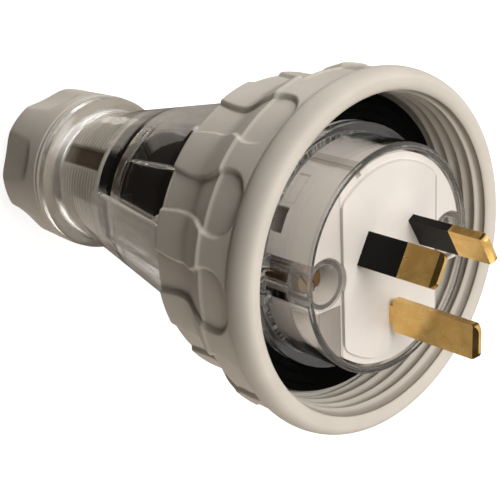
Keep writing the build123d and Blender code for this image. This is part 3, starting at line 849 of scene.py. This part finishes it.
def carrier_finish(colour):
    """White carrier, darkened in zones: a tan bar and lines along a panel's edges on its side, and painted
    shade along its face's edges, down its step and on its pockets' floors.
    """
    side = ("radius", 19.4, 20.0, 0.1)
    bar = (0.42, [side, ("turn", 108.0, 114.8, 0.6), ("Z", 92.6, 103.3, 0.3)])
    panel_arc = ("turn", 124.0, 141.0, 0.4)
    panel = [
        (0.5, [side, ("turn", 123.7, 124.7, 0.4), ("Z", 93.0, 95.5, 0.2)]),
        (0.2, [side, panel_arc, ("Z", 95.35, 95.6, 0.15)]),
        (0.13, [side, panel_arc, ("Z", 93.3, 93.5, 0.15)]),
        (0.13, [side, ("turn", 140.6, 141.2, 0.4), ("Z", 90.0, 95.5, 0.15)]),
    ]
    # Painted shade: dark lines along the raised face's edges, on its left step and beside that step
    face = ("Z", 103.9, 104.2, 0.05)
    face_edges = [
        (0.55, [face, ("X", 12.2, 12.6, 0.1), ("Y", -13.0, 13.0, 1.0)]),
        (0.2, [face, ("radius", 18.05, 18.5, 0.1), ("X", -11.0, 11.5, 1.0), ("Y", 0.0, 19.0, 1.0)]),
        (0.35, [("Z", 103.3, 104.1, 0.05), ("X", -12.7, -12.4, 0.06)]),
        (0.16, [("Z", 103.2, 103.5, 0.05), ("X", -19.6, -12.7, 0.1)]),
    ]
    # Painted shade on the floors of the pockets below the wells
    pocket_floor = ("Z", 97.8, 98.1, 0.1)
    pocket_end = ("Y", -20.0, -4.8, 0.1)
    reaches = ((-19.8, -12.8), (12.8, 19.8))
    pockets = [(0.42, [pocket_floor, ("X", *reach, 0.05), pocket_end]) for reach in reaches]
    shade_and_mark_zones = [bar, *panel, *face_edges, *pockets]
    return moulded("carrier_white", colour, 0.36, grain=0.5, shade_and_mark_zones=shade_and_mark_zones)


def ring_section(crest):
    """The ring's closed section in millimetres, and the row numbers at which its flank, mouth and thread end.

    The flank's radius is the rear row's, plus a rise eased along the ramp, plus a slight rise along the front
    row, plus a Gaussian bead between the rows, less a Gaussian crease at the rim. Three cubics make the
    mouth, the thread's root line is straight with a flared end, and the inside has straight runs and fillets.
    """
    rear_row = np.linspace(FLANK_START, RAMP_START, REAR_POINTS)[:-1]
    height = np.concatenate([rear_row, np.linspace(RAMP_START, FLANK_END, FRONT_POINTS)])
    radius = REAR_ROW_RADIUS + RAMP_RISE * smooth_step(RAMP_START, RAMP_END, height)
    radius += FRONT_ROW_RISE * smooth_step(RAMP_END, FLANK_END, height)
    radius += crest * (swell(BEAD_HEIGHT, BEAD_WIDTH, height) - swell(CREASE_HEIGHT, CREASE_WIDTH, height))
    flank = np.stack([radius, height], axis=-1)
    mouth = np.concatenate([curve(points, count) for points, count in RING_MOUTH])
    thread_height = np.linspace(THREAD_TOP, THREAD_FOOT, THREAD_POINTS)
    flare = ROOT_FLARE * smooth_step(THREAD_TOP - FLARE_LENGTH, THREAD_TOP, thread_height)
    thread = np.stack([ROOT_RADIUS + flare, thread_height], axis=-1)
    inside = bent(RING_INSIDE, run=2.0, arc=4)
    ends = np.cumsum([len(flank), len(mouth), len(thread)])
    return np.concatenate([flank, mouth, thread, inside]), ends


def grip_spokes(grips, start):
    """Angles round the ring, set closer where the walls of the recesses are."""
    floor = np.linspace(0.0, WALL_START, SPARSE_SPOKES)[:-1]
    wall = np.linspace(WALL_START, WALL_END, DENSE_SPOKES)
    between = np.linspace(WALL_END, HALF_PITCH, SPARSE_SPOKES)[1:-1]
    half = np.concatenate([floor, wall, between]) / HALF_PITCH
    pitch = 2.0 * np.pi / grips
    spokes = np.concatenate([-half[:0:-1], half, [1.0]]) * pitch / 2
    return (start + pitch * np.arange(grips)[:, None] + spokes).ravel()


def grip_outside(across, along, flank_rows):
    """How far a point lies outside a recess's outline, negative inside it.

    The point is given by its places across and along the flank. Behind the bulb the outline's half width
    eases from the mouth to the waist, the neck and the bulb, and the distance across is divided by the length
    of (1, slope) of that line. In the bulb it is the distance to a rectangle with rounded corners.
    """
    half_width = MOUTH_HALF - (MOUTH_HALF - WAIST_HALF) * smooth_step(MOUTH_HEIGHT, WAIST_HEIGHT, along)
    half_width += (NECK_HALF - WAIST_HALF) * smooth_step(WAIST_HEIGHT, NECK_HEIGHT, along)
    half_width += (BULB_HALF - NECK_HALF) * smooth_step(FLARE_HEIGHT, BULB_HEIGHT, along)
    slope = np.zeros(along.shape[1])
    slope[:flank_rows] = np.gradient(half_width[0, :flank_rows], along[0, :flank_rows])
    beside = (across - half_width) / np.sqrt(1.0 + slope**2)
    over_side = across - BULB_HALF + GRIP_CORNER
    over_end = along - GRIP_END + GRIP_CORNER
    bulb = np.hypot(np.maximum(over_side, 0.0), np.maximum(over_end, 0.0)) - GRIP_CORNER
    bulb += np.minimum(np.maximum(over_side, over_end), 0.0)
    return np.where(along > BULB_HEIGHT, bulb, beside)


class PLUG_OT_finishes(bpy.types.Operator):
    """Make the materials and give them to the solids that keep their shape"""

    bl_idname = "plug.finishes"
    bl_label = "Finishes"

    def execute(self, context):
        colours = context.scene.plug_top.finish
        # The ring and the nut get painted shade from an attribute that each piece keeps
        moulded("ring_grey", tuple(colours.grey), 0.58, attribute="painted_shade", gloss=0.3)
        moulded("nut_grey", shade(colours.grey, 0.94), 0.58, attribute="painted_shade", gloss=0.3)
        dress(housing_finish(tuple(colours.clear)), "rear_housing")
        dress(cover_finish(tuple(colours.clear)), "front_cover")
        dress(carrier_finish(tuple(colours.white)), "pin_carrier")
        along_pin = (1.0, 1.0, 0.12)
        pin_brass = metal("pin_blade_brass", tuple(colours.brass), 0.23, along_pin, mottle=0.9)
        dress(pin_brass, "active_pin", "neutral_pin", "earth_pin")
        terminal_brass = metal("terminal_block_brass", tuple(colours.brass), 0.3, (1.0, 0.15, 1.0))
        dress(terminal_brass, "active_terminal", "neutral_terminal", "earth_terminal")
        across_screw = (0.2, 1.0, 1.0)
        screw_brass = metal("assembly_screw_brass", tuple(colours.copper), 0.28, across_screw)
        dress(screw_brass, "assembly_screws")
        steel = metal("plated_screw_steel", tuple(colours.steel), 0.3, across_screw, mottle=0.85)
        dress(steel, "active_terminal_screw", "neutral_terminal_screw", "earth_terminal_screw")
        dress(steel, "shroud_screws")
        sleeve = moulded("sleeve_black_nylon", tuple(colours.black), 0.38, grain=0.6, gloss=0.12)
        dress(sleeve, "active_sleeve", "neutral_sleeve")
        dress(moulded("shroud_black", tuple(colours.black), 0.5, grain=0.6, gloss=0.02), "terminal_shroud")
        dress(moulded("seal_rubber", tuple(colours.rubber), 0.7, gloss=0.03), "gland_seal")
        dress(moulded("washer_nylon", tuple(colours.nylon), 0.45), "slip_washer")
        return {"FINISHED"}


class PLUG_OT_locking_ring(bpy.types.Operator):
    """Make the grey locking ring with its two rows of soft finger grips and its internal socket thread"""

    bl_idname = "plug.locking_ring"
    bl_label = "Locking Ring"

    def execute(self, context):
        ring = context.scene.plug_top.ring
        section, (flank_end, mouth_end, thread_end) = ring_section(ring.crest_height / MM)
        angles = grip_spokes(ring.grip_count, ring.grip_start)
        turn, height = np.meshgrid(angles, section[:, 1], indexing="ij")
        radius = np.broadcast_to(section[:, 0], turn.shape).copy()
        on_flank = np.zeros(len(section))
        on_flank[:flank_end] = 1.0
        on_flank[-EDGE_ROWS:] = np.linspace(0.0, 1.0, EDGE_ROWS)
        across = np.abs(radius * np.sin(folded(turn, ring.grip_start, ring.grip_count)))
        outside = grip_outside(across, height, flank_end)
        edge = ring.grip_edge / MM
        radius -= ring.grip_depth / MM * smooth_step(edge, -edge, outside) * on_flank
        on_thread = np.zeros(len(section))
        on_thread[mouth_end:thread_end] = 1.0
        run_out = smooth_step(THREAD_TOP, THREAD_TOP - TOP_RUN_OUT, height)
        run_out = run_out * smooth_step(THREAD_FOOT, THREAD_FOOT + FOOT_RUN_OUT, height)
        wave = scallop_wave(height - CREST_HEIGHT, turn - CREST_ANGLE, ring.thread_pitch / MM, CREST_DROP)
        wave = wave * run_out * on_thread
        radius -= ring.thread_depth / MM * wave
        piece = turned("locking_ring_moulding", angles, radius, height + RING_REAR, "ring_grey")
        # Painted shade: darker colour in the thread's roots, on the step behind the nose and at the feet of
        # the recesses' walls
        painted_shade = ROOT_SHADE * smooth_step(UNSHADED_RISE, 0.0, wave) * on_thread
        painted_shade[:, mouth_end - STEP_POINTS : mouth_end] = ROOT_SHADE
        painted_shade += WALL_SHADE * swell(WALL_FOOT * edge, WALL_SHADE_WIDTH, outside) * on_flank
        add_attribute(piece, "painted_shade", painted_shade)
        stand_for(piece, "locking_ring", "locking_ring")
        return {"FINISHED"}


class PLUG_OT_gland_nut(bpy.types.Operator):
    """Make the grey gland nut with its finger dishes, its lip and its slotted, threaded spigot"""

    bl_idname = "plug.gland_nut"
    bl_label = "Gland Nut"

    def execute(self, context):
        nut = context.scene.plug_top.nut
        grip = bent(NUT_GRIP, run=0.35)
        spigot_height = np.linspace(SPIGOT_START, SPIGOT_END, SPIGOT_POINTS)
        spigot = np.stack([np.full_like(spigot_height, SPIGOT_RADIUS), spigot_height], axis=-1)
        section = np.concatenate([grip, spigot, bent(NUT_INSIDE, run=2.0)])
        angles = np.linspace(0.0, 2.0 * np.pi, NUT_SPOKES, endpoint=False)
        turn, height = np.meshgrid(angles, section[:, 1], indexing="ij")
        radius = np.broadcast_to(section[:, 0], turn.shape)
        hollow = self.dishes(nut, turn, height, radius)
        on_spigot = np.zeros(len(section))
        on_spigot[len(grip) : len(grip) + len(spigot)] = 1.0
        run_out = smooth_step(SPIGOT_START, SPIGOT_START + SPIGOT_RUN_OUT, height)
        run_out = run_out * smooth_step(SPIGOT_END, SPIGOT_END - SPIGOT_RUN_OUT, height)
        roots = (1.0 - thread_wave(height, turn, nut.thread_pitch / MM)) * run_out * on_spigot
        slot = smooth_step(SLOT_WALL, SLOT_FLOOR, np.abs(folded(turn, SLOT_START, SLOT_COUNT)))
        slot = slot * smooth_step(*SLOT_REAR, height) * smooth_step(*SLOT_FRONT, height) * on_spigot
        cut = np.maximum(nut.thread_depth / MM * roots, nut.slot_depth / MM * slot)
        piece = turned("gland_nut_moulding", angles, radius - hollow - cut, height, "nut_grey")
        # Painted shade: darker colour between lip and thread, at the front of the dishes and in the thread's
        # roots, and full in the slots
        painted_shade = SEAM_SHADE * smooth_step(*SEAM_REAR, height) * smooth_step(*SEAM_FRONT, height)
        dish_front = smooth_step(*DISH_SHADE_DEPTHS, hollow) * smooth_step(*DISH_SHADE_HEIGHTS, height)
        painted_shade = painted_shade + DISH_SHADE * dish_front
        add_attribute(piece, "painted_shade", np.maximum(painted_shade, np.maximum(SPIGOT_SHADE * roots, slot)))
        stand_for(piece, "gland_nut", "gland_nut")
        return {"FINISHED"}

    def dishes(self, nut, turn, height, radius):
        """How deep the dishes cut in: the radius less the soft lesser of it and that of a cylinder in front.

        The cylinder's axis lies outside the nut and leans outwards, and from RUN_OUT_START on its surface
        eases away.
        """
        aside = folded(turn, nut.dish_start, nut.dish_count)
        depth = nut.dish_depth / MM
        axis = NUT_REAR_RADIUS + DISH_RADIUS - depth + (depth - DISH_END_DEPTH) * height / DISH_LENGTH
        surface = axis * np.cos(aside) - np.sqrt(DISH_RADIUS**2 - (axis * np.sin(aside)) ** 2)
        surface += DISH_RUN_OUT * smooth_step(RUN_OUT_START, RUN_OUT_END, height)
        reached = (radius > DISH_LEAST_RADIUS) & (height < DISH_GREATEST_HEIGHT)
        return np.where(reached, radius - soft_least(radius, surface, DISH_BLEND), 0.0)


class PLUG_OT_sealing_gasket(bpy.types.Operator):
    """Make the black rubber gasket with soft edges, two shallow grooves and a lip under the cover's foot"""

    bl_idname = "plug.sealing_gasket"
    bl_label = "Sealing Gasket"

    def execute(self, context):
        section = bent(GASKET_SECTION, run=0.6, arc=4)
        angles = np.linspace(0.0, 2.0 * np.pi, GASKET_SPOKES, endpoint=False)
        radius, height = (np.broadcast_to(line, (len(angles), len(section))) for line in section.T)
        piece = turned("sealing_gasket_rubber", angles, radius, height, "seal_rubber")
        stand_for(piece, "sealing_gasket", "plug_body")
        return {"FINISHED"}


class PLUG_OT_stage(bpy.types.Operator):
    """Set up the camera, the soft lamps, the surroundings and the pale floor"""

    bl_idname = "plug.stage"
    bl_label = "Stage"

    def execute(self, context):
        stage = context.scene.plug_top.stage
        self.place_camera(context, stage)
        lamps = (
            ("key_softbox", (0.47, 0.20, 0.86), 0.5, WHITE_LIGHT, stage.key_power),
            ("side_softbox", (0.98, -0.02, 0.06), 1.1, WHITE_LIGHT, stage.side_power),
            ("top_softbox", (-0.27, 0.85, -0.44), 0.35, (1.0, 0.97, 0.93), stage.top_power),
            ("overhead_softbox", (0.49, 0.82, 0.31), 0.7, (1.0, 0.98, 0.95), stage.overhead_power),
            ("table_softbox", (0.05, -0.98, 0.03), 0.8, WARM_LIGHT, stage.table_power),
            ("rear_softbox", (-0.60, -0.60, -0.47), 1.0, WARM_LIGHT, stage.rear_power),
        )
        for lamp in lamps:
            self.place_lamp(context, *lamp)
        self.make_floor(stage.floor_drop)
        self.make_surroundings(context, stage.ambient)
        context.scene.view_settings.view_transform = "Standard"
        return {"FINISHED"}

    def place_camera(self, context, stage):
        """A camera at its place, turned to its axes."""
        camera = bpy.data.objects.new("photo_camera", bpy.data.cameras.new("photo_camera"))
        camera.data.sensor_width = 36.0
        camera.data.lens = stage.lens
        camera.data.clip_start = 0.01
        turn = Matrix((RIGHT, UP, NEAR)).transposed().to_4x4()
        camera.matrix_world = Matrix.Translation(Vector(stage.camera_place)) @ turn
        context.scene.collection.objects.link(camera)
        context.scene.camera = camera

    def place_lamp(self, context, name, way, size, colour, power):
        """A round soft lamp that looks at the plug from a way given along the camera's axes."""
        lamp = bpy.data.objects.new(name, bpy.data.lights.new(name, "AREA"))
        lamp.data.shape = "DISK"
        lamp.data.size = size
        lamp.data.energy = power
        lamp.data.color = colour
        way = way[0] * RIGHT + way[1] * UP + way[2] * NEAR
        lamp.location = LAMP_AIM + LAMP_DISTANCE * way.normalized()
        lamp.rotation_euler = way.to_track_quat("Z", "Y").to_euler()
        context.scene.collection.objects.link(lamp)

    def make_floor(self, drop):
        """A white disc below the nut that only the camera sees: shaded near the plug, white far off."""
        material, tree, shader = new_finish("pale_floor")
        tree.nodes.remove(shader)
        lit = tree.nodes.new("ShaderNodeBsdfDiffuse")
        lit.inputs["Color"].default_value = (0.5, 0.5, 0.5, 1.0)
        glow = tree.nodes.new("ShaderNodeEmission")
        far = zones(tree, [(1.0, [FLOOR_FAR])], least=0.0)
        link(tree, spread(tree, far, *FLOOR_GLOW), glow.inputs["Strength"])
        both = tree.nodes.new("ShaderNodeAddShader")
        link(tree, lit.outputs["BSDF"], both.inputs[0])
        link(tree, glow.outputs["Emission"], both.inputs[1])
        link(tree, both.outputs["Shader"], tree.nodes["Material Output"].inputs["Surface"])
        turn = np.linspace(0.0, 2.0 * np.pi, FLOOR_SPOKES, endpoint=False)
        circle = np.stack([np.cos(turn), np.sin(turn), np.zeros_like(turn)], axis=-1)
        points = np.concatenate([FLOOR_HUB * circle, FLOOR_RADIUS * circle]) - (0.0, 0.0, drop)
        own = np.arange(FLOOR_SPOKES)
        after = (own + 1) % FLOOR_SPOKES
        band = np.stack([own, own + FLOOR_SPOKES, after + FLOOR_SPOKES, after], axis=-1)
        odd = np.arange(1, FLOOR_SPOKES - 1, 2)
        hub = np.stack([0 * odd, odd, odd + 1, odd + 2], axis=-1)
        floor = put_mesh("pale_floor", points, np.concatenate([band, hub]), material)
        floor.visible_diffuse = False
        floor.visible_glossy = False
        floor.visible_transmission = False
        floor.visible_shadow = False

    def make_surroundings(self, context, ambient):
        """A plain studio: white behind the plug, less so through clear plastic, and dim to all other rays."""
        world = context.scene.world or bpy.data.worlds.new("studio")
        context.scene.world = world
        world.use_nodes = True
        tree = world.node_tree
        tree.nodes.clear()
        path = tree.nodes.new("ShaderNodeLightPath")
        dim = tree.nodes.new("ShaderNodeBackground")
        dim.inputs["Color"].default_value = (1.0, 0.84, 0.66, 1.0)
        dimmer = spread(tree, path.outputs["Is Glossy Ray"], ambient, GLOSS_SHARE * ambient)
        link(tree, dimmer, dim.inputs["Strength"])
        white = tree.nodes.new("ShaderNodeBackground")
        white.inputs["Color"].default_value = (1.0, 1.0, 1.0, 1.0)
        place = tree.nodes.new("ShaderNodeTexCoord")
        behind = tree.nodes.new("ShaderNodeVectorMath")
        behind.operation = "DOT_PRODUCT"
        behind.inputs[1].default_value = BACKDROP_WAY
        link(tree, place.outputs["Generated"], behind.inputs[0])
        backdrop = within(tree, behind.outputs["Value"], *BACKDROP_LIMITS)
        through = combine(tree, "MULTIPLY", backdrop, BACKDROP_SHARE)
        through = combine(tree, "MULTIPLY", path.outputs["Is Transmission Ray"], through)
        share = combine(tree, "MAXIMUM", path.outputs["Is Camera Ray"], through)
        output = tree.nodes.new("ShaderNodeOutputWorld")
        surroundings = mixed(tree, share, dim.outputs["Background"], white.outputs["Background"])
        link(tree, surroundings, output.inputs["Surface"])


class PLUG_PT_pieces(bpy.types.Panel):
    """Lists the plug's settings and pieces"""

    bl_idname = "PLUG_PT_pieces"
    bl_label = "Plug Top"
    bl_space_type = "VIEW_3D"
    bl_region_type = "UI"
    bl_category = "Plug Top"

    def draw(self, context):
        settings = context.scene.plug_top
        for group in (settings.ring, settings.nut, settings.finish, settings.stage):
            box = self.layout.box()
            for name in group.bl_rna.properties.keys():
                if name not in ("name", "rna_type"):
                    box.prop(group, name)
        for operator in operators:
            self.layout.operator(operator.bl_idname)


operators = (PLUG_OT_finishes, PLUG_OT_locking_ring, PLUG_OT_gland_nut, PLUG_OT_sealing_gasket, PLUG_OT_stage)
classes = (RingSettings, NutSettings, FinishSettings, StageSettings, PlugSettings, *operators, PLUG_PT_pieces)


def register():
    """Registers the classes and hangs the settings on the scene."""
    for cls in classes:
        bpy.utils.register_class(cls)
    bpy.types.Scene.plug_top = PointerProperty(type=PlugSettings)


def unregister():
    """Takes the settings and the classes away again."""
    del bpy.types.Scene.plug_top
    for cls in reversed(classes):
        bpy.utils.unregister_class(cls)


def main():
    """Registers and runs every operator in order."""
    register()
    bpy.ops.plug.finishes()
    bpy.ops.plug.locking_ring()
    bpy.ops.plug.gland_nut()
    bpy.ops.plug.sealing_gasket()
    bpy.ops.plug.stage()


if __name__ == "__main__":
    main()
